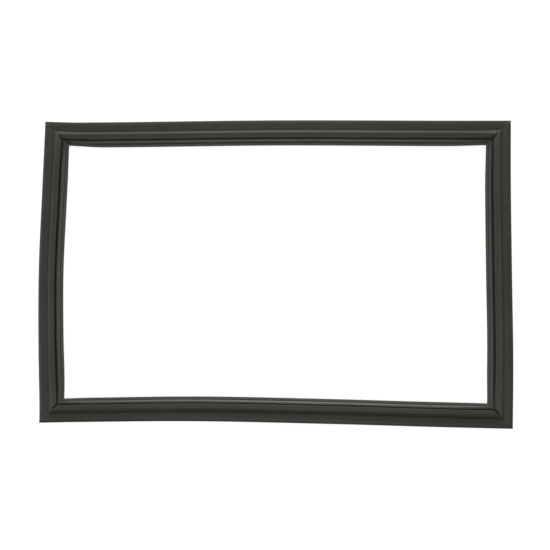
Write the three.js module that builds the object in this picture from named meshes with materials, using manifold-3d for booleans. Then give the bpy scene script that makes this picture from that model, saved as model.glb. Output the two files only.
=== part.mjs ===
// Refrigerator door gasket for a drawer-type door, in millimetres, +Z up.
// One extruded profile is cut into four lengths, mitred and welded into a closed ring, with a
// magnet strip inside each length. It lies with its sealing face up, on the tip of its dart.

import * as THREE from "three";
import { mergeVertices } from "three/addons/utils/BufferGeometryUtils.js";
import Module from "manifold-3d";

const wasm = await Module();
wasm.setup();

// Ring, over the outer edges of the flap
const ringLength = 724;
const ringWidth = 470;

// Outer sealing flap, arched: it falls from its crest to the crease and curls down to its edge
const flapWidth = 13;
const flapThickness = 1.3;
const flapFall = 0.4;
const curlWidth = 6.8;
const curlDrop = 1.6;

// Crease that lets the flap hinge on the body
const creaseWidth = 1.4;
const creaseDepth = 0.4;

// Web that lies on the door and carries the rest of the profile
const webThickness = 1.5;

// Bellows between the web and the magnet pocket. Its outer wall leans in from the crease and
// rounds over a shoulder into the sealing face.
const bellowsHeight = 3.6;
const bellowsWall = 1.2;
const outerWallRun = 4.8;
const shoulderRun = 1.5;
const shoulderDrop = 1.2;
const pleatDepth = 0.4;

// Magnet strips and the pocket that holds them against the sealing face
const magnetWidth = 5.2;
const magnetThickness = 2;
const magnetClearance = 0.3;
const magnetEndGap = 6;
const pocketSetback = 0.2;
const pocketWall = 0.9;
const innerShoulderRadius = 1;

// Inner balloon, the groove beside it and the inner lip
const grooveWidth = 0.9;
const balloonWidth = 6;
const balloonHeight = 2.4;
const balloonWall = 0.8;
const lipWidth = 3.9;
const lipThickness = 1.3;
const lipDrop = 1;

// Dart that is pushed into the door's retainer slot
const dartLength = 7.5;
const dartNeckWidth = 2.6;
const upperBarbWidth = 6.8;
const lowerBarbWidth = 5.4;
const barbDrop = 1.6;
const barbPitch = 2.6;
const barbLean = 0.5;
const barbEdge = 0.4;
const dartTipWidth = 1.6;
const dartRecess = 0.3;
const recessMargin = 0.6;

// Breather holes, one into each chamber from every side of the ring
const breatherDiameter = 2;

// How finely rounds and sides are divided
const curveSteps = 4;
const longSideSteps = 12;
const shortSideSteps = 8;

// Heights of the profile, from the dart's tip
const webBottom = dartLength;
const webTop = webBottom + webThickness;
const flapRoot = webTop - flapFall;
const pocketBase = webTop + bellowsHeight;
const pocketSpace = magnetClearance + pocketWall;
const profileHeight = pocketBase + magnetThickness + 2 * pocketSpace;
const shoulderFoot = profileHeight - shoulderDrop;
const wallRise = shoulderFoot - flapRoot;

// Distances from the flap's outer edge, inwards
const wallFoot = flapWidth + creaseWidth;
const shoulderStart = wallFoot + outerWallRun;
const pocketOuter = shoulderStart + pocketSetback;
const pocketInner = pocketOuter + magnetWidth + 2 * pocketSpace;
const dartCentre = (wallFoot + pocketInner) / 2;
const recessWidth = Math.max(upperBarbWidth, lowerBarbWidth) + 2 * recessMargin;
const balloonOuter = pocketInner + grooveWidth;
const balloonCentre = balloonOuter + balloonWidth / 2;
const balloonInner = balloonOuter + balloonWidth;

// The four sides, counter-clockwise from above. A bow lists how far the side stands out of
// true, as shares of its length and millimetres outwards: it was packed folded and hasn't
// relaxed yet. Every bow ends at nothing, in its mitres.
const sides = [
  {
    name: "bottom",
    length: ringLength,
    across: ringWidth,
    steps: longSideSteps,
    bow: [[0, 0], [0.07, -1.6], [0.33, -5.3], [0.62, -3.8], [0.85, -1.2], [1, 0]],
  },
  {
    name: "right",
    length: ringWidth,
    across: ringLength,
    steps: shortSideSteps,
    bow: [[0, 0], [0.22, 1.5], [0.5, 0.3], [0.8, -0.6], [1, 0]],
  },
  {
    name: "top",
    length: ringLength,
    across: ringWidth,
    steps: longSideSteps,
    bow: [[0, 0], [0.1, -0.3], [0.5, 0.9], [0.92, -1.8], [1, 0]],
  },
  {
    name: "left",
    length: ringWidth,
    across: ringLength,
    steps: shortSideSteps,
    bow: [[0, 0], [0.25, 3.2], [0.5, 5.8], [0.75, 3.9], [0.95, 0.2], [1, 0]],
  },
];
sides.forEach((side, count) => {
  side.turn = (count * Math.PI) / 2;
  side.curve = new THREE.CubicInterpolant(side.bow.map(knot => knot[0]), side.bow.map(knot => knot[1]), 1);
});

// A point of the profile, share of the way from one mitre of a side to the next
function pointOnSide(side, share, inwards, height) {
  const along = inwards + share * (side.length - 2 * inwards) - side.length / 2;
  const out = side.across / 2 - inwards + side.curve.evaluate(share)[0];
  return new THREE.Vector3(along, -out, height).applyAxisAngle(new THREE.Vector3(0, 0, 1), side.turn);
}

function solidFrom(geometry) {
  geometry.deleteAttribute("normal");
  geometry.deleteAttribute("uv");
  const merged = mergeVertices(geometry);
  const vertProperties = new Float32Array(merged.getAttribute("position").array);
  const triVerts = new Uint32Array(merged.getIndex().array);
  return new wasm.Manifold(new wasm.Mesh({ numProp: 3, vertProperties, triVerts }));
}

function meshFrom(name, solid, material) {
  const { vertProperties, triVerts } = solid.getMesh();
  const geometry = new THREE.BufferGeometry();
  geometry.setAttribute("position", new THREE.BufferAttribute(vertProperties, 3));
  geometry.setIndex(new THREE.BufferAttribute(triVerts, 1));
  const mesh = new THREE.Mesh(geometry, material);
  mesh.name = name;
  return mesh;
}

// An outline carried round all four sides: a turned ring whose stations are moved out to the
// sides, so that each change of side is a clean mitre
function ringOf(outline) {
  const points = outline.getPoints(curveSteps);
  if (!points[0].equals(points.at(-1))) points.push(points[0]);
  const stations = sides.flatMap(side =>
    Array.from({ length: side.steps }, (_, step) => ({ side, share: step / side.steps })));
  stations.push(stations[0]);
  const ring = new THREE.LatheGeometry(points, stations.length - 1);
  const position = ring.getAttribute("position");
  stations.forEach(({ side, share }, station) => {
    points.forEach((point, count) => {
      const placed = pointOnSide(side, share, point.x, point.y);
      position.setXYZ(station * points.length + count, ...placed);
    });
  });
  return solidFrom(ring);
}

// The dart's contour on one side of its centre, from the web down to the tip
function dartHalf(direction) {
  const half = width => dartCentre + (direction * width) / 2;
  const contour = [
    [half(recessWidth), webBottom],
    [half(recessWidth), webBottom + dartRecess],
    [half(dartNeckWidth), webBottom + dartRecess],
  ];
  [upperBarbWidth, lowerBarbWidth].forEach((width, count) => {
    const root = webBottom - barbDrop - count * barbPitch;
    contour.push([half(dartNeckWidth), root]);
    contour.push([half(width), root - barbLean]);
    contour.push([half(width), root - barbLean - barbEdge]);
  });
  contour.push([half(dartTipWidth), 0]);
  return contour;
}

function addFlapTop(outline) {
  outline.moveTo(flapThickness / 2, webTop - curlDrop);
  outline.quadraticCurveTo(curlWidth / 2, webTop, curlWidth, webTop);
  outline.quadraticCurveTo((curlWidth + flapWidth) / 2, webTop, flapWidth, flapRoot);
}

function addCrease(outline) {
  outline.quadraticCurveTo(flapWidth + creaseWidth / 2, flapRoot - 2 * creaseDepth, wallFoot, flapRoot);
}

// The shoulder goes on in the leaning wall's own direction and turns level into the sealing face
function addOuterWall(outline) {
  const corner = shoulderStart + (outerWallRun / wallRise) * shoulderDrop;
  outline.lineTo(shoulderStart, shoulderFoot);
  outline.quadraticCurveTo(corner, profileHeight, shoulderStart + shoulderRun, profileHeight);
}

// The sealing face's inner edge
function addFaceEdge(outline) {
  const round = innerShoulderRadius;
  outline.absarc(pocketInner - round, profileHeight - round, round, Math.PI / 2, 0, true);
}

// The pleated inner wall, at a depth inside the bellows
function addPleat(outline, depth) {
  outline.lineTo(pocketInner - depth, pocketBase);
  const middle = pocketInner - 2 * pleatDepth - depth;
  outline.quadraticCurveTo(middle, (webTop + pocketBase) / 2, pocketInner - depth, webTop);
}

function addLip(outline) {
  const round = lipThickness / 2;
  const rimTop = webTop - lipDrop;
  const rim = balloonInner + lipWidth - round;
  outline.quadraticCurveTo((balloonInner + rim) / 2, webTop, rim, rimTop);
  outline.absarc(rim, rimTop - round, round, Math.PI / 2, -Math.PI / 2, true);
  outline.lineTo(balloonInner, webBottom);
}

function addDart(outline) {
  dartHalf(1).forEach(point => outline.lineTo(...point));
  dartHalf(-1).reverse().forEach(point => outline.lineTo(...point));
}

function addFlapUnderside(outline) {
  const round = flapThickness / 2;
  const under = webTop - flapThickness;
  outline.lineTo(wallFoot, webBottom);
  outline.lineTo(flapWidth, flapRoot - flapThickness);
  outline.quadraticCurveTo((curlWidth + flapWidth) / 2, under, curlWidth, under);
  outline.quadraticCurveTo(curlWidth / 2, under, round, under - curlDrop);
  outline.absarc(round, under - curlDrop + round, round, -Math.PI / 2, -1.5 * Math.PI, true);
}

// The whole skin of the profile, with its chambers still filled
function profileOutline() {
  const outline = new THREE.Shape();
  addFlapTop(outline);
  addCrease(outline);
  addOuterWall(outline);
  addFaceEdge(outline);
  addPleat(outline, 0);
  outline.lineTo(balloonOuter, webTop);
  outline.absellipse(balloonCentre, webTop, balloonWidth / 2, balloonHeight, Math.PI, 0, true);
  addLip(outline);
  addDart(outline);
  addFlapUnderside(outline);
  return outline;
}

// A rectangle inside the pocket, the same distance from all four of its outer faces
function pocketOutline(inset) {
  const outline = new THREE.Shape();
  outline.moveTo(pocketOuter + inset, pocketBase + inset);
  outline.lineTo(pocketOuter + inset, profileHeight - inset);
  outline.lineTo(pocketInner - inset, profileHeight - inset);
  outline.lineTo(pocketInner - inset, pocketBase + inset);
  return outline;
}

// The space under the pocket and between it and the leaning outer wall
function bellowsOutline() {
  const outline = new THREE.Shape();
  const foot = wallFoot + bellowsWall;
  const steepness = wallRise / outerWallRun;
  outline.moveTo(foot + flapFall / steepness, webTop);
  outline.lineTo(pocketOuter, flapRoot + (pocketOuter - foot) * steepness);
  outline.lineTo(pocketOuter, pocketBase);
  addPleat(outline, bellowsWall);
  return outline;
}

function balloonOutline() {
  const outline = new THREE.Shape();
  const halfWidth = balloonWidth / 2 - balloonWall;
  outline.moveTo(balloonCentre - halfWidth, webTop);
  outline.absellipse(balloonCentre, webTop, halfWidth, balloonHeight - balloonWall, Math.PI, 0, true);
  return outline;
}

// A hole down through one wall of the profile, in the middle of a side
function breather(side, inwards, wallBottom, wallTop) {
  const overrun = breatherDiameter / 4;
  const height = wallTop - wallBottom + 2 * overrun;
  const hole = new THREE.CylinderGeometry(breatherDiameter / 2, breatherDiameter / 2, height, 2 * curveSteps);
  hole.rotateX(Math.PI / 2);
  hole.translate(...pointOnSide(side, 0.5, inwards, (wallBottom + wallTop) / 2));
  return solidFrom(hole);
}

function gasketFrame() {
  let frame = ringOf(profileOutline());
  for (const chamber of [pocketOutline(pocketWall), bellowsOutline(), balloonOutline()]) {
    frame = frame.subtract(ringOf(chamber));
  }
  const pocketCentre = (pocketOuter + pocketInner) / 2;
  const besideDart = dartCentre - (dartNeckWidth + recessWidth) / 4;
  for (const side of sides) {
    frame = frame.subtract(breather(side, pocketCentre, pocketBase, pocketBase + pocketWall));
    frame = frame.subtract(breather(side, besideDart, webBottom, webTop));
    frame = frame.subtract(breather(side, balloonCentre, webBottom, webTop));
  }
  return frame;
}

// A strip the shape of the pocket, cut square before it reaches the mitres
function magnetStrip(side) {
  const length = side.length - 2 * (pocketInner + magnetEndGap);
  const cutter = new THREE.BoxGeometry(length, side.across / 2, profileHeight);
  cutter.translate(0, -side.across / 2, profileHeight / 2);
  cutter.rotateZ(side.turn);
  return ringOf(pocketOutline(pocketSpace)).intersect(solidFrom(cutter));
}

const vinyl = { color: 0x3c3e38, roughness: 0.55, metalness: 0 };
const ferrite = { color: 0x2c2826, roughness: 0.7, metalness: 0 };

const gasket = new THREE.Group();
gasket.add(meshFrom("gasket_frame", gasketFrame(), new THREE.MeshStandardMaterial(vinyl)));
for (const side of sides) {
  const name = `magnet_strip_${side.name}`;
  gasket.add(meshFrom(name, magnetStrip(side), new THREE.MeshStandardMaterial(ferrite)));
}

// The origin is under the middle of the whole part
const middle = new THREE.Box3().setFromObject(gasket).getCenter(new THREE.Vector3());
gasket.position.set(-middle.x, -middle.y, 0);

export default gasket;
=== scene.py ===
import math
import bpy
from mathutils import Matrix, Vector, noise


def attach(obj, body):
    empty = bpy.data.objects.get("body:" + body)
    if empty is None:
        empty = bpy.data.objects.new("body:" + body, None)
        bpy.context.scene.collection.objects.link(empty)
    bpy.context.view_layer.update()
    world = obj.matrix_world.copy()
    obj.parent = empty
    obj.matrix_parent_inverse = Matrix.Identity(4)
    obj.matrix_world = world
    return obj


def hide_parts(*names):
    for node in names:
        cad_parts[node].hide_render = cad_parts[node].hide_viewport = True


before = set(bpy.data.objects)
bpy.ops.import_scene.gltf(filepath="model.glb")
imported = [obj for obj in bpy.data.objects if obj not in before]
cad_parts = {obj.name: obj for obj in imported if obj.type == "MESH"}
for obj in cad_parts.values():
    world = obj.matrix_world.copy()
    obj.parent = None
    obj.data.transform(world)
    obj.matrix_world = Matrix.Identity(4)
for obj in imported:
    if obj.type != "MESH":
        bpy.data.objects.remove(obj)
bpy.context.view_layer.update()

mm = 0.001
print("frame loaded:", sorted(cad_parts))


# The extruded vinyl profile, in millimetres: widths run inwards from the flap's outer edge,
# heights run up from the dart's tip
profile = {
    "flapWidth": 13.0, "flapThickness": 1.3, "flapFall": 0.4, "curlWidth": 6.8, "curlDrop": 1.6,
    "creaseWidth": 1.4, "creaseDepth": 0.4,
    "webBottom": 7.5, "webThickness": 1.5,
    "bodyHeight": 8.0,                       # from the web up to the sealing face
    "outerWallRun": 4.8, "shoulderRun": 1.5, "shoulderDrop": 1.2,
    "bellowsWall": 1.2, "pleatDepth": 0.4,
    "pocketSetback": 0.2, "pocketWidth": 7.6, "pocketHeight": 4.4, "pocketWall": 0.9, "innerShoulder": 1.0,
    "magnetGap": 0.3, "magnetEndGap": 6.0,
    "grooveWidth": 0.9,
    "balloonWidth": 6.0, "balloonHeight": 2.4, "balloonWall": 0.8,
    "lipWidth": 3.9, "lipThickness": 1.3, "lipDrop": 1.0,
    "dartNeck": 2.6, "upperBarb": 6.8, "lowerBarb": 5.4, "barbDrop": 1.6, "barbPitch": 2.6,
    "barbLean": 0.5, "barbEdge": 0.4, "dartTip": 1.6, "dartRecess": 0.3, "recessWidth": 8.0,
    "roundSteps": 12,       # points on each round stretch of the skin
    "chamberSteps": 6,      # and on the walls that nobody sees
    "sameSpot": 1e-6,       # two points nearer than this are one
    "seamSlack": 0.01,      # how near the balloon's foot a point is part of the balloon
}
webTop = profile["webBottom"] + profile["webThickness"]
webMiddle = profile["webBottom"] + profile["webThickness"] / 2
flapRoot = webTop - profile["flapFall"]
profileTop = webTop + profile["bodyHeight"]
pocketBase = profileTop - profile["pocketHeight"]
wallFoot = profile["flapWidth"] + profile["creaseWidth"]
shoulderStart = (wallFoot + profile["outerWallRun"], profileTop - profile["shoulderDrop"])
steepness = (shoulderStart[1] - flapRoot) / profile["outerWallRun"]
pocketOuter = shoulderStart[0] + profile["pocketSetback"]
pocketInner = pocketOuter + profile["pocketWidth"]
dartCentre = (wallFoot + pocketInner) / 2
balloonOuter = pocketInner + profile["grooveWidth"]
balloonCentre = balloonOuter + profile["balloonWidth"] / 2
balloonInner = balloonOuter + profile["balloonWidth"]


def curveTo(points, control, end, steps):
    # a curved stretch from the last point, pulled towards the control point
    start = points[-1]
    for step in range(1, steps + 1):
        t = step / steps
        points.append(tuple(
            (1 - t) ** 2 * a + 2 * t * (1 - t) * b + t * t * c for a, b, c in zip(start, control, end)))


def arcTo(points, centre, radii, fromDegrees, toDegrees, steps):
    for step in range(steps + 1):
        angle = math.radians(fromDegrees + (toDegrees - fromDegrees) * step / steps)
        point = (centre[0] + radii[0] * math.cos(angle), centre[1] + radii[1] * math.sin(angle))
        if math.dist(point, points[-1]) > profile["sameSpot"]:
            points.append(point)


def outerWallTo(points, steps):
    # straight up the leaning wall, then over the shoulder into the sealing face
    run, climb = shoulderStart[0] - wallFoot, shoulderStart[1] - flapRoot
    for step in range(1, steps + 1):
        t = step / steps
        points.append((wallFoot + run * t, flapRoot + climb * t))
    corner = (shoulderStart[0] + profile["shoulderDrop"] / steepness, profileTop)
    curveTo(points, corner, (shoulderStart[0] + profile["shoulderRun"], profileTop), steps)


def pleatTo(points, depth, steps):
    points.append((pocketInner - depth, pocketBase))
    middle = pocketInner - 2 * profile["pleatDepth"] - depth
    curveTo(points, (middle, (webTop + pocketBase) / 2), (pocketInner - depth, webTop), steps)


def dartHalf(direction):
    contour = [
        (dartCentre + direction * profile["recessWidth"] / 2, profile["webBottom"]),
        (dartCentre + direction * profile["recessWidth"] / 2, profile["webBottom"] + profile["dartRecess"]),
        (dartCentre + direction * profile["dartNeck"] / 2, profile["webBottom"] + profile["dartRecess"]),
    ]
    for count, width in enumerate((profile["upperBarb"], profile["lowerBarb"])):
        root = profile["webBottom"] - profile["barbDrop"] - count * profile["barbPitch"]
        contour.append((dartCentre + direction * profile["dartNeck"] / 2, root))
        contour.append((dartCentre + direction * width / 2, root - profile["barbLean"]))
        contour.append((dartCentre + direction * width / 2, root - profile["barbLean"] - profile["barbEdge"]))
    contour.append((dartCentre + direction * profile["dartTip"] / 2, 0))
    return contour


flapTip = (profile["flapThickness"] / 2, webTop - profile["curlDrop"] - profile["flapThickness"] / 2)


def skinOutline():
    # the whole outside, from the flap's tip over the top and back underneath
    steps = profile["roundSteps"]
    curl, flap, thick = profile["curlWidth"], profile["flapWidth"], profile["flapThickness"]
    points = [(flapTip[0], flapTip[1] + thick / 2)]
    curveTo(points, (curl / 2, webTop), (curl, webTop), steps)
    curveTo(points, ((curl + flap) / 2, webTop), (flap, flapRoot), steps)
    crease = ((flap + wallFoot) / 2, flapRoot - 2 * profile["creaseDepth"])
    curveTo(points, crease, (wallFoot, flapRoot), steps // 2)
    outerWallTo(points, steps)
    inner = profile["innerShoulder"]
    faceStart, faceEnd = points[-1][0], pocketInner - inner
    points += [(faceStart + (faceEnd - faceStart) * k / 4, profileTop) for k in (1, 2, 3)]
    arcTo(points, (faceEnd, profileTop - inner), (inner, inner), 90, 0, steps)
    pleatTo(points, 0, steps)
    points.append((balloonOuter, webTop))
    radii = (profile["balloonWidth"] / 2, profile["balloonHeight"])
    arcTo(points, (balloonCentre, webTop), radii, 180, 0, 2 * steps)
    half = profile["lipThickness"] / 2
    rim = (balloonInner + profile["lipWidth"] - half, webTop - profile["lipDrop"] - half)
    curveTo(points, ((balloonInner + rim[0]) / 2, webTop), (rim[0], rim[1] + half), steps // 2)
    arcTo(points, rim, (half, half), 90, -90, steps)
    points.append((balloonInner, profile["webBottom"]))
    points += dartHalf(1) + dartHalf(-1)[::-1]
    points += [(wallFoot, profile["webBottom"]), (flap, flapRoot - thick)]
    curveTo(points, ((curl + flap) / 2, webTop - thick), (curl, webTop - thick), steps)
    curveTo(points, (curl / 2, webTop - thick), (flapTip[0], flapTip[1] - thick / 2), steps)
    arcTo(points, flapTip, (thick / 2, thick / 2), -90, -270, steps)
    return points[:-1]


def pocketCorners(inset):
    return [(pocketOuter + inset, pocketBase + inset), (pocketOuter + inset, profileTop - inset),
            (pocketInner - inset, profileTop - inset), (pocketInner - inset, pocketBase + inset)]


def chamberOutlines():
    # the insides of the magnet pocket, the bellows and the balloon
    steps = profile["chamberSteps"]
    foot = wallFoot + profile["bellowsWall"]
    bellows = [(foot + profile["flapFall"] / steepness, webTop),
               (pocketOuter, flapRoot + (pocketOuter - foot) * steepness), (pocketOuter, pocketBase)]
    pleatTo(bellows, profile["bellowsWall"], steps)
    half = profile["balloonWidth"] / 2 - profile["balloonWall"]
    height = profile["balloonHeight"] - profile["balloonWall"]
    balloon = [(balloonCentre - half, webTop)]
    arcTo(balloon, (balloonCentre, webTop), (half, height), 180, 0, 2 * steps)
    return pocketCorners(profile["pocketWall"]), bellows, balloon


# The ring that the profile runs round. A bow lists how far a side stands out of true, as
# shares of its length and millimetres outwards. Sides go counter-clockwise seen from above.
ring = {
    "length": 724.0, "width": 470.0,
    "step": 5.0,                 # between stations along a side, mm
    "cornerSteps": (0.35, 0.7, 1.1, 1.6, 2.3, 3.2, 4.4, 6.0, 8.0, 10.5, 13.5, 17.0, 21.0),
    "bows": {
        "bottom": ((0, 0), (0.07, -1.6), (0.33, -5.3), (0.62, -3.8), (0.85, -1.2), (1, 0)),
        "right": ((0, 0), (0.22, 1.5), (0.5, 0.3), (0.8, -0.6), (1, 0)),
        "top": ((0, 0), (0.1, -0.3), (0.5, 0.9), (0.92, -1.8), (1, 0)),
        "left": ((0, 0), (0.25, 3.2), (0.5, 5.8), (0.75, 3.9), (0.95, 0.2), (1, 0)),
    },
    # Welds and what they do beside them, mm
    "weldHeight": 0.35, "weldWidth": 0.55,     # bead of squeezed vinyl along each mitre
    "weldEven": 0.75, "weldUneven": 0.5,       # the bead's even share, and how much comes and goes
    "weldGrain": 0.9, "cornerApart": 3.7,      # how fast it varies, and how the corners differ
    "beadClear": 0.1,                          # the bead stops this far above the web's underside
    "flapWeld": -0.5,                          # the weld line is sunken in the thin flap
    "notch": 2.4, "notchWidth": 1.7,           # how far the weld draws the pocket and the balloon down
    "cornerSink": 0.9, "cornerReach": 9.0,     # how the empty pocket sinks beside a weld
    "balloonSink": 1.4, "balloonReach": 11.0,  # and the balloon
    "deepestSink": 0.8,                        # share of the balloon's height that a weld can take
    # Lazy wave in the flap's free edge, and short ripples beside a weld
    "flapWave": 0.35, "flapWaveLength": 95.0, "flapWaveGrowth": 1.5,
    "waveApart": 7.3, "waveRow": 0.4,          # where each side reads the wave's noise
    "pucker": 0.3, "puckerReach": 10.0, "puckerLength": 3.1, "puckerSlant": 2.3,
    "puckerStart": 2.0, "puckerEdge": 4.0,     # none at the weld itself, none at the free edge
    # How the soft section has settled in the middle of each side
    "settleReach": 60.0,                                                # mm from a corner
    "webSlack": 0.001,                         # the web's own top counts as part of the balloon
    # rolled inwards on its dart, degrees
    "lean": {"corner": 6.5, "bottom": 6.0, "right": 6.0, "top": 10.5, "left": 6.0},
    "sway": {"bottom": 0.0, "right": -0.5, "top": 0.0, "left": -1.3},   # pocket moved inwards, mm
    "spread": {"bottom": 0.0, "right": 0.0, "top": 2.4, "left": 0.3},   # outer shoulder pushed outwards, mm
    "rise": {"bottom": 12.0, "right": 3.0, "top": 8.0, "left": 3.0},    # balloon and lip lifted, degrees
    "press": {"bottom": 0.7, "right": 0.1, "top": 1.0, "left": 0.8},    # balloon pushed at the pocket, mm
    "swell": {"bottom": -0.2, "right": 0.5, "top": 1.9, "left": -0.3},  # balloon's crest moved inwards, mm
    "puff": {"bottom": 0.6, "right": 0.4, "top": 2.1, "left": 0.4},     # balloon taller by this share
    "lipStretch": {"bottom": 0.2, "right": 1.0, "top": 1.0, "left": 0.8},  # lip's rim further in, mm
    "valley": 0.45, "valleyWidth": 0.9,                                 # crease between balloon and lip, mm
    "flapLift": {                              # knots, as for the bows: degrees upwards
        "bottom": ((0, -3), (0.25, -5), (0.6, 0), (1, 0)),
        "right": ((0, 0), (1, 0)),
        "top": ((0, 0), (1, 0)),
        "left": ((0, 0), (0.5, -2), (0.8, -4), (1, -3)),
    },
    "sharpAngle": 32.0,                        # edges sharper than this stay sharp, degrees
}
sideNames = ("bottom", "right", "top", "left")


def bowAt(knots, share):
    # a smooth curve through the knots, with slopes taken from their neighbours
    last = len(knots) - 1
    at = next(k for k in range(last) if share <= knots[k + 1][0] or k == last - 1)
    slopes = []
    for k in (at, at + 1):
        before, after = knots[max(k - 1, 0)], knots[min(k + 1, last)]
        slopes.append((after[1] - before[1]) / (after[0] - before[0]))
    span = knots[at + 1][0] - knots[at][0]
    t = (share - knots[at][0]) / span
    a, b = knots[at][1], knots[at + 1][1]
    return ((2 * t**3 - 3 * t**2 + 1) * a + (t**3 - 2 * t**2 + t) * span * slopes[0]
            + (3 * t**2 - 2 * t**3) * b + (t**3 - t**2) * span * slopes[1])


def stationShares(length):
    run = length - 2 * dartCentre
    near = [distance / run for distance in (0, *ring["cornerSteps"])]
    inside = 1 - 2 * near[-1]
    count = round(inside * run / ring["step"])
    even = [near[-1] + inside * k / count for k in range(1, count)]
    return near + even + [1 - share for share in reversed(near[1:])]


def stationAt(count, share):
    # a place along one side: the side's own length, the ring's width across it, its turn and bow
    length, across = ring["length"], ring["width"]
    if count % 2:
        length, across = across, length
    return {"side": count, "share": share, "length": length, "across": across,
            "turn": Matrix.Rotation(count * math.pi / 2, 3, "Z"),
            "bow": bowAt(ring["bows"][sideNames[count]], share)}


def ringStations():
    found = []
    for count in range(len(sideNames)):
        length = stationAt(count, 0)["length"]
        found += [stationAt(count, share) for share in stationShares(length)]
    return found


stations = ringStations()
ringShift = Vector((0, 0, 0))


def weldDistance(station, inwards):
    return min(station["share"], 1 - station["share"]) * (station["length"] - 2 * inwards)


def easedFrom(station):
    # 0 at a corner, 1 from the settling reach on
    t = min(1, weldDistance(station, dartCentre) / ring["settleReach"])
    return t * t * (3 - 2 * t)


def settled(station, inwards, height):
    # the section as it has settled here: the same for the skin, the chambers and the strips
    name = sideNames[station["side"]]
    fromWeld = weldDistance(station, inwards)
    ease = easedFrom(station)
    up = max(0, height - webTop + ring["webSlack"])
    if inwards < profile["flapWidth"]:
        lift = math.tan(math.radians(bowAt(ring["flapLift"][name], station["share"])))
        return inwards, height + (profile["flapWidth"] - inwards) * lift
    notch = ring["notch"] * math.exp(-(fromWeld / ring["notchWidth"]) ** 2)
    if inwards <= pocketInner:
        notch += ring["cornerSink"] * math.exp(-(fromWeld / ring["cornerReach"]) ** 2)
        share = up / profile["bodyHeight"]
        outer = min(1, (pocketInner - inwards) / (pocketInner - shoulderStart[0]))
        move = ring["sway"][name] - ring["spread"][name] * outer
        return inwards + move * ease * share, height - notch * share
    notch += ring["balloonSink"] * math.exp(-(fromWeld / ring["balloonReach"]) ** 2)
    taper = min(1, up / profile["balloonHeight"])
    height -= min(notch, ring["deepestSink"] * profile["balloonHeight"]) * taper
    if up:
        height -= ring["valley"] * math.exp(-((inwards - balloonInner) / ring["valleyWidth"]) ** 2)
        height += up * ring["puff"][name] * ease
    over = (inwards - balloonOuter) / profile["balloonWidth"]
    move = ring["lipStretch"][name] * max(0, inwards - balloonInner) / profile["lipWidth"]
    move -= ring["press"][name] * max(0, 1 - over)
    move += ring["swell"][name] * math.sin(math.pi * min(1, max(0, over))) * taper
    angle = math.radians(ring["rise"][name]) * ease
    across, above = inwards + move * ease - pocketInner, height - webMiddle
    return (pocketInner + across * math.cos(angle) - above * math.sin(angle),
            webMiddle + across * math.sin(angle) + above * math.cos(angle))


def leaned(station, inwards, height):
    # the profile rolled about the flap's tip, and lifted until the dart's tip is on the floor
    corner, middle = ring["lean"]["corner"], ring["lean"][sideNames[station["side"]]]
    lean = math.radians(corner + (middle - corner) * easedFrom(station))
    cosine, sine = math.cos(lean), math.sin(lean)
    across, up = inwards - flapTip[0], height - flapTip[1]
    lift = (dartCentre + profile["dartTip"] / 2 - flapTip[0]) * sine + flapTip[1] * cosine - flapTip[1]
    return flapTip[0] + across * cosine + up * sine, flapTip[1] - across * sine + up * cosine + lift


def place(station, inwards, height):
    inwards, height = leaned(station, inwards, height)
    along = inwards + station["share"] * (station["length"] - 2 * inwards) - station["length"] / 2
    out = station["across"] / 2 - inwards + station["bow"]
    return station["turn"] @ Vector((along, -out, height)) + ringShift


# The flap's outer edges give the ring's own box, and its middle is the frame's origin
edges = [place(station, 0, flapTip[1]) for station in stations]
ringShift = -Vector(((min(p.x for p in edges) + max(p.x for p in edges)) / 2,
                     (min(p.y for p in edges) + max(p.y for p in edges)) / 2, 0))


def outlineNormals(points):
    normals = []
    for before, after in zip([points[-1]] + points[:-1], points[1:] + [points[0]]):
        across, up = after[0] - before[0], after[1] - before[1]
        size = math.hypot(across, up) or 1
        normals.append((-up / size, across / size))
    return normals


def shapedPoint(station, point, normal, seed):
    # a point of the skin with what makes the real one less than perfect
    inwards, height = point
    fromWeld = weldDistance(station, inwards)
    if inwards < profile["flapWidth"]:
        along = station["share"] * station["length"] / ring["flapWaveLength"]
        where = Vector((along, station["side"] * ring["waveApart"], ring["waveRow"]))
        free = (1 - inwards / profile["flapWidth"]) ** ring["flapWaveGrowth"]
        height += free * ring["flapWave"] * noise.noise(where)
        ripple = math.sin(fromWeld / ring["puckerLength"] + inwards / ring["puckerSlant"])
        ripple *= math.exp(-fromWeld / ring["puckerReach"])
        height += (ring["pucker"] * ripple * min(1, fromWeld / ring["puckerStart"])
                   * min(1, inwards / ring["puckerEdge"]))
    grain = ring["weldGrain"]
    spot = Vector((inwards * grain, height * grain, seed * ring["cornerApart"]))
    rough = ring["weldEven"] + ring["weldUneven"] * noise.noise(spot)
    weld = ring["flapWeld"] if inwards < profile["flapWidth"] else ring["weldHeight"]
    bead = weld * rough * math.exp(-(fromWeld / ring["weldWidth"]) ** 2)
    if height < profile["webBottom"] + ring["beadClear"]:
        bead = 0
    return place(station, *settled(station, inwards + normal[0] * bead, height + normal[1] * bead))


# Neighbouring sides share their mitre: the last station of one is the first of the next
loop = [station for station in stations if station["share"] < 1]


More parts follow.
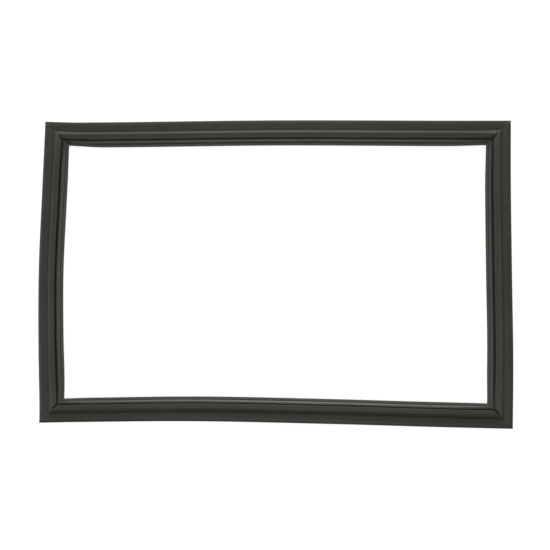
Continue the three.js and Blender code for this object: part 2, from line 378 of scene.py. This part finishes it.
def addTube(vertices, faces, lays, paintedSheenFaces, outline, isChamber):
    # one closed tube of quads round the whole ring
    normals = outlineNormals(outline)
    runs = [0]
    for a, b in zip(outline, outline[1:]):
        runs.append(runs[-1] + math.dist(a, b))
    first, count = len(vertices), len(outline)
    for station in loop:
        for number, point in enumerate(outline):
            if isChamber:
                vertices.append(place(station, *settled(station, *point)) * mm)
            else:
                seed = station["side"] + (station["share"] > 0.5)
                vertices.append(shapedPoint(station, point, normals[number], seed) * mm)
            fromWeld = weldDistance(station, point[0])
            lays.append((station["share"] * station["length"] * mm, runs[number] * mm, fromWeld * mm))
    for row in range(len(loop)):
        after = (row + 1) % len(loop)
        for number in range(count):
            side = (number + 1) % count
            corners = [first + row * count + number, first + after * count + number,
                       first + after * count + side, first + row * count + side]
            faces.append(corners[::-1] if isChamber else corners)
            outermost = min(outline[number][0], outline[side][0])
            # faces of the balloon and the lip, which take the paler copy of the vinyl: a painted highlight
            paintedSheenFaces.append(outermost > balloonOuter - profile["seamSlack"])


def ringMesh():
    # the mesh, and for each of its faces whether it is part of the balloon or the lip
    vertices, faces, lays, paintedSheenFaces = [], [], [], []
    addTube(vertices, faces, lays, paintedSheenFaces, skinOutline(), False)
    for chamber in chamberOutlines():
        addTube(vertices, faces, lays, paintedSheenFaces, chamber, True)
    mesh = bpy.data.meshes.new("gasketRing")
    mesh.from_pydata(vertices, [], faces)
    # how each point lies in the extrusion: along the side, round the section, off the weld
    lay = mesh.attributes.new("lay", "FLOAT_VECTOR", "POINT")
    lay.data.foreach_set("vector", [value for row in lays for value in row])
    mesh.validate()
    mesh.update()
    return mesh, paintedSheenFaces


def linked(name, mesh):
    made = bpy.data.objects.new(name, mesh)
    bpy.context.scene.collection.objects.link(made)
    return made


# Bonded magnet strips, one in each side, pushed in before the corners were welded
strip = {"steps": 60, "bevel": 0.3}


def stripOutline():
    # the pocket's own corners, a gap further in and bevelled
    inset, cut = profile["pocketWall"] + profile["magnetGap"], strip["bevel"]
    points = []
    corners = pocketCorners(inset)
    for count, (across, up) in enumerate(corners):
        for other in (corners[count - 1], corners[(count + 1) % len(corners)]):
            size = math.dist((across, up), other)
            points.append((across + (other[0] - across) * cut / size, up + (other[1] - up) * cut / size))
    return points


def stripMesh(name):
    count = sideNames.index(name)
    length = stationAt(count, 0)["length"]
    half = length / 2 - pocketInner - profile["magnetEndGap"]
    outline = stripOutline()
    vertices = []
    for step in range(strip["steps"] + 1):
        along = -half + 2 * half * step / strip["steps"]
        for point in outline:
            station = stationAt(count, (along + length / 2 - point[0]) / (length - 2 * point[0]))
            vertices.append(place(station, *settled(station, *point)) * mm)
    size = len(outline)
    faces = [list(range(size)), [strip["steps"] * size + k for k in range(size)][::-1]]
    for step in range(strip["steps"]):
        near, far = step * size, (step + 1) * size
        for k in range(size):
            side = (k + 1) % size
            faces.append([near + k, far + k, far + side, near + side])
    mesh = bpy.data.meshes.new("magnet" + name.capitalize())
    mesh.from_pydata(vertices, [], faces)
    mesh.validate()
    mesh.update()
    return mesh


gasketMesh, paintedSheenFaces = ringMesh()
gasket = linked("gasketRing", gasketMesh)
print("ring mesh:", len(gasket.data.vertices), "vertices,", len(gasket.data.polygons), "faces")
magnets = {name: linked("magnet" + name.capitalize(), stripMesh(name)) for name in sideNames}
print("magnet strips:", ", ".join(magnets))


# Materials: the body's vinyl, and a paler, glossier copy of it on the balloon and the lip; the gloss is the
# vinyl's own, the extra paleness is a painted highlight standing in for the balloon's sheen
vinyl = {
    "colour": (0.0213, 0.0228, 0.0168), "paler": (0.0315, 0.0335, 0.025),
    "roughness": 0.5, "streakRoughness": 0.12, "specular": 0.35,
    "streakBump": 0.00004, "grainBump": 0.000012,      # metres
    "streakScale": (6, 1400, 0),                       # long along the extrusion, fine across it
    "cloudScale": 14.0, "grainScale": 900.0,
    "streakShare": 0.55, "cloudShare": 0.45,           # how much each has to do with the colour
    "darkUpTo": 0.36, "paleFrom": 0.68,
}
paintedSheenVinyl = {
    **vinyl, "colour": (0.03, 0.0325, 0.0245), "paler": (0.044, 0.047, 0.036), "specular": 0.5,
}


def newMaterial(name):
    made = bpy.data.materials.new(name)
    made.use_nodes = True
    tree = made.node_tree
    return made, tree, tree.nodes["Principled BSDF"]


def addNode(tree, kind, **values):
    node = tree.nodes.new(kind)
    for key, value in values.items():
        if key in node.inputs:
            node.inputs[key].default_value = value
        else:
            setattr(node, key, value)
    return node


def blackVinyl(name, finish):
    made, tree, shader = newMaterial(name)
    link = tree.links.new
    lay = addNode(tree, "ShaderNodeAttribute", attribute_name="lay")
    stretch = addNode(tree, "ShaderNodeMapping")
    stretch.inputs["Scale"].default_value = finish["streakScale"]
    link(lay.outputs["Vector"], stretch.inputs["Vector"])
    streaks = addNode(tree, "ShaderNodeTexNoise", Scale=1.0, Detail=3.0, Roughness=0.6)
    link(stretch.outputs["Vector"], streaks.inputs["Vector"])
    space = addNode(tree, "ShaderNodeTexCoord")
    clouds = addNode(tree, "ShaderNodeTexNoise", Scale=finish["cloudScale"], Detail=4.0, Roughness=0.55)
    link(space.outputs["Object"], clouds.inputs["Vector"])
    grain = addNode(tree, "ShaderNodeTexNoise", Scale=finish["grainScale"], Detail=2.0, Roughness=0.5)
    link(space.outputs["Object"], grain.inputs["Vector"])

    # streaks and clouds together pick the colour
    blend = addNode(tree, "ShaderNodeMath", operation="MULTIPLY_ADD")
    blend.inputs[1].default_value = finish["streakShare"]
    link(streaks.outputs["Fac"], blend.inputs[0])
    thinned = addNode(tree, "ShaderNodeMath", operation="MULTIPLY")
    thinned.inputs[1].default_value = finish["cloudShare"]
    link(clouds.outputs["Fac"], thinned.inputs[0])
    link(thinned.outputs[0], blend.inputs[2])
    ramp = addNode(tree, "ShaderNodeValToRGB")
    ramp.color_ramp.elements[0].position = finish["darkUpTo"]
    ramp.color_ramp.elements[0].color = (*finish["colour"], 1)
    ramp.color_ramp.elements[1].position = finish["paleFrom"]
    ramp.color_ramp.elements[1].color = (*finish["paler"], 1)
    link(blend.outputs[0], ramp.inputs["Fac"])
    link(ramp.outputs["Color"], shader.inputs["Base Color"])

    rough = addNode(tree, "ShaderNodeMapRange")
    rough.inputs["To Min"].default_value = finish["roughness"] - finish["streakRoughness"]
    rough.inputs["To Max"].default_value = finish["roughness"] + finish["streakRoughness"]
    link(streaks.outputs["Fac"], rough.inputs["Value"])
    link(rough.outputs["Result"], shader.inputs["Roughness"])
    shader.inputs["Specular IOR Level"].default_value = finish["specular"]

    coarse = addNode(tree, "ShaderNodeBump", Distance=finish["streakBump"], Strength=1.0)
    link(streaks.outputs["Fac"], coarse.inputs["Height"])
    fine = addNode(tree, "ShaderNodeBump", Distance=finish["grainBump"], Strength=1.0)
    link(grain.outputs["Fac"], fine.inputs["Height"])
    link(coarse.outputs["Normal"], fine.inputs["Normal"])
    link(fine.outputs["Normal"], shader.inputs["Normal"])
    return made


ferrite = {
    "colour": (0.02, 0.016, 0.014), "paler": (0.045, 0.036, 0.03), "darkUpTo": 0.4, "paleFrom": 0.7,
    "roughness": 0.75, "powderScale": 1500.0, "powderBump": 0.00003,
}


def brownFerrite():
    made, tree, shader = newMaterial("brownFerrite")
    link = tree.links.new
    space = addNode(tree, "ShaderNodeTexCoord")
    powder = addNode(tree, "ShaderNodeTexNoise", Scale=ferrite["powderScale"], Detail=3.0, Roughness=0.6)
    link(space.outputs["Object"], powder.inputs["Vector"])
    ramp = addNode(tree, "ShaderNodeValToRGB")
    ramp.color_ramp.elements[0].position = ferrite["darkUpTo"]
    ramp.color_ramp.elements[0].color = (*ferrite["colour"], 1)
    ramp.color_ramp.elements[1].position = ferrite["paleFrom"]
    ramp.color_ramp.elements[1].color = (*ferrite["paler"], 1)
    link(powder.outputs["Fac"], ramp.inputs["Fac"])
    link(ramp.outputs["Color"], shader.inputs["Base Color"])
    shader.inputs["Roughness"].default_value = ferrite["roughness"]
    bump = addNode(tree, "ShaderNodeBump", Distance=ferrite["powderBump"], Strength=1.0)
    link(powder.outputs["Fac"], bump.inputs["Height"])
    link(bump.outputs["Normal"], shader.inputs["Normal"])
    return made


def paintAll(thing, material):
    thing.data.materials.clear()
    thing.data.materials.append(material)


def smoothExceptCorners(thing, degrees):
    mesh = thing.data
    mesh.shade_smooth()
    mesh.set_sharp_from_angle(angle=math.radians(degrees))


paintAll(gasket, blackVinyl("blackVinyl", vinyl))
gasket.data.materials.append(blackVinyl("paintedSheenBlackVinyl", paintedSheenVinyl))
# the balloon and lip faces take the paler copy, whose extra paleness is painted highlight
for face in gasket.data.polygons:
    face.material_index = int(paintedSheenFaces[face.index])
smoothExceptCorners(gasket, ring["sharpAngle"])
stripPaint = brownFerrite()
for magnet in magnets.values():
    paintAll(magnet, stripPaint)
print("materials done")

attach(gasket, "root")
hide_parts("gasket_frame")
for name, magnet in magnets.items():
    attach(magnet, "root")
    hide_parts("magnet_strip_" + name)


# Table, lamps and camera
studio = {
    "floorSize": 6.0, "floorColour": (0.3, 0.3, 0.3),
    "floorRoughness": 0.9, "floorSpecular": 0.1,
    "floorGlow": 0.84,                           # what the camera sees on top of the lit floor
    "worldLight": 0.13,
    "lampSize": 1.2,
    "lamps": {                                   # place and power of each soft lamp
        "northLamp": ((0.0, 1.9, 0.35), 20.0),
        "farNorthLamp": ((0.0, 3.4, 0.62), 80.0),
        "highNorthLamp": ((0.0, 1.0, 1.8), 8.0),
        "highSouthLamp": ((0.0, -0.9, 1.9), 15.0),
        "westLamp": ((-1.9, 0.0, 0.5), 18.0),
        "eastLamp": ((1.9, 0.0, 0.5), 12.0),
    },
}
camera = {
    "place": (0.05958, -0.06908, 1.32604), "turn": (2.807, 2.43, 0.425), "lens": 56.09, "sensor": 36.0,
}


def seenOnly(tree):
    # 1 for the camera and for what mirrors and glass show, 0 for light on the object
    path = addNode(tree, "ShaderNodeLightPath")
    seen = addNode(tree, "ShaderNodeMath", operation="MAXIMUM")
    tree.links.new(path.outputs["Is Camera Ray"], seen.inputs[0])
    tree.links.new(path.outputs["Is Glossy Ray"], seen.inputs[1])
    more = addNode(tree, "ShaderNodeMath", operation="MAXIMUM")
    tree.links.new(seen.outputs[0], more.inputs[0])
    tree.links.new(path.outputs["Is Transmission Ray"], more.inputs[1])
    return more.outputs[0]


def whiteFloor():
    half = studio["floorSize"] / 2
    mesh = bpy.data.meshes.new("floor")
    corners = [(-half, -half, 0), (half, -half, 0), (half, half, 0), (-half, half, 0)]
    mesh.from_pydata(corners, [], [(0, 1, 2, 3)])
    floor = linked("floor", mesh)
    made, tree, shader = newMaterial("floorPaint")
    shader.inputs["Base Color"].default_value = (*studio["floorColour"], 1)
    shader.inputs["Roughness"].default_value = studio["floorRoughness"]
    shader.inputs["Specular IOR Level"].default_value = studio["floorSpecular"]
    glow = addNode(tree, "ShaderNodeEmission")
    strength = addNode(tree, "ShaderNodeMath", operation="MULTIPLY")
    strength.inputs[1].default_value = studio["floorGlow"]
    tree.links.new(seenOnly(tree), strength.inputs[0])
    tree.links.new(strength.outputs[0], glow.inputs["Strength"])
    total = addNode(tree, "ShaderNodeAddShader")
    tree.links.new(shader.outputs["BSDF"], total.inputs[0])
    tree.links.new(glow.outputs["Emission"], total.inputs[1])
    tree.links.new(total.outputs["Shader"], tree.nodes["Material Output"].inputs["Surface"])
    mesh.materials.append(made)


def paleWorld():
    world = bpy.data.worlds.new("paleRoom")
    bpy.context.scene.world = world
    world.use_nodes = True
    tree = world.node_tree
    background = tree.nodes["Background"]
    background.inputs["Color"].default_value = (1, 1, 1, 1)
    level = addNode(tree, "ShaderNodeMapRange")
    level.inputs["To Min"].default_value = studio["worldLight"]
    level.inputs["To Max"].default_value = 1.0
    path = addNode(tree, "ShaderNodeLightPath")
    tree.links.new(path.outputs["Is Camera Ray"], level.inputs["Value"])
    tree.links.new(level.outputs["Result"], background.inputs["Strength"])


def softLamp(name, spot, power):
    # a square lamp that looks at the frame's origin
    lamp = bpy.data.lights.new(name, "AREA")
    lamp.shape = "SQUARE"
    lamp.size = studio["lampSize"]
    lamp.energy = power
    made = bpy.data.objects.new(name, lamp)
    made.location = spot
    made.rotation_euler = (-Vector(spot)).to_track_quat("-Z", "Y").to_euler()
    bpy.context.scene.collection.objects.link(made)


def photoCamera():
    data = bpy.data.cameras.new("photoCamera")
    data.lens = camera["lens"]
    data.sensor_width = camera["sensor"]
    made = bpy.data.objects.new("photoCamera", data)
    made.location = camera["place"]
    made.rotation_euler = [math.radians(angle) for angle in camera["turn"]]
    bpy.context.scene.collection.objects.link(made)
    bpy.context.scene.camera = made


whiteFloor()
paleWorld()
for name, (spot, power) in studio["lamps"].items():
    softLamp(name, spot, power)
photoCamera()
bpy.context.scene.view_settings.view_transform = "Standard"
print("studio ready")
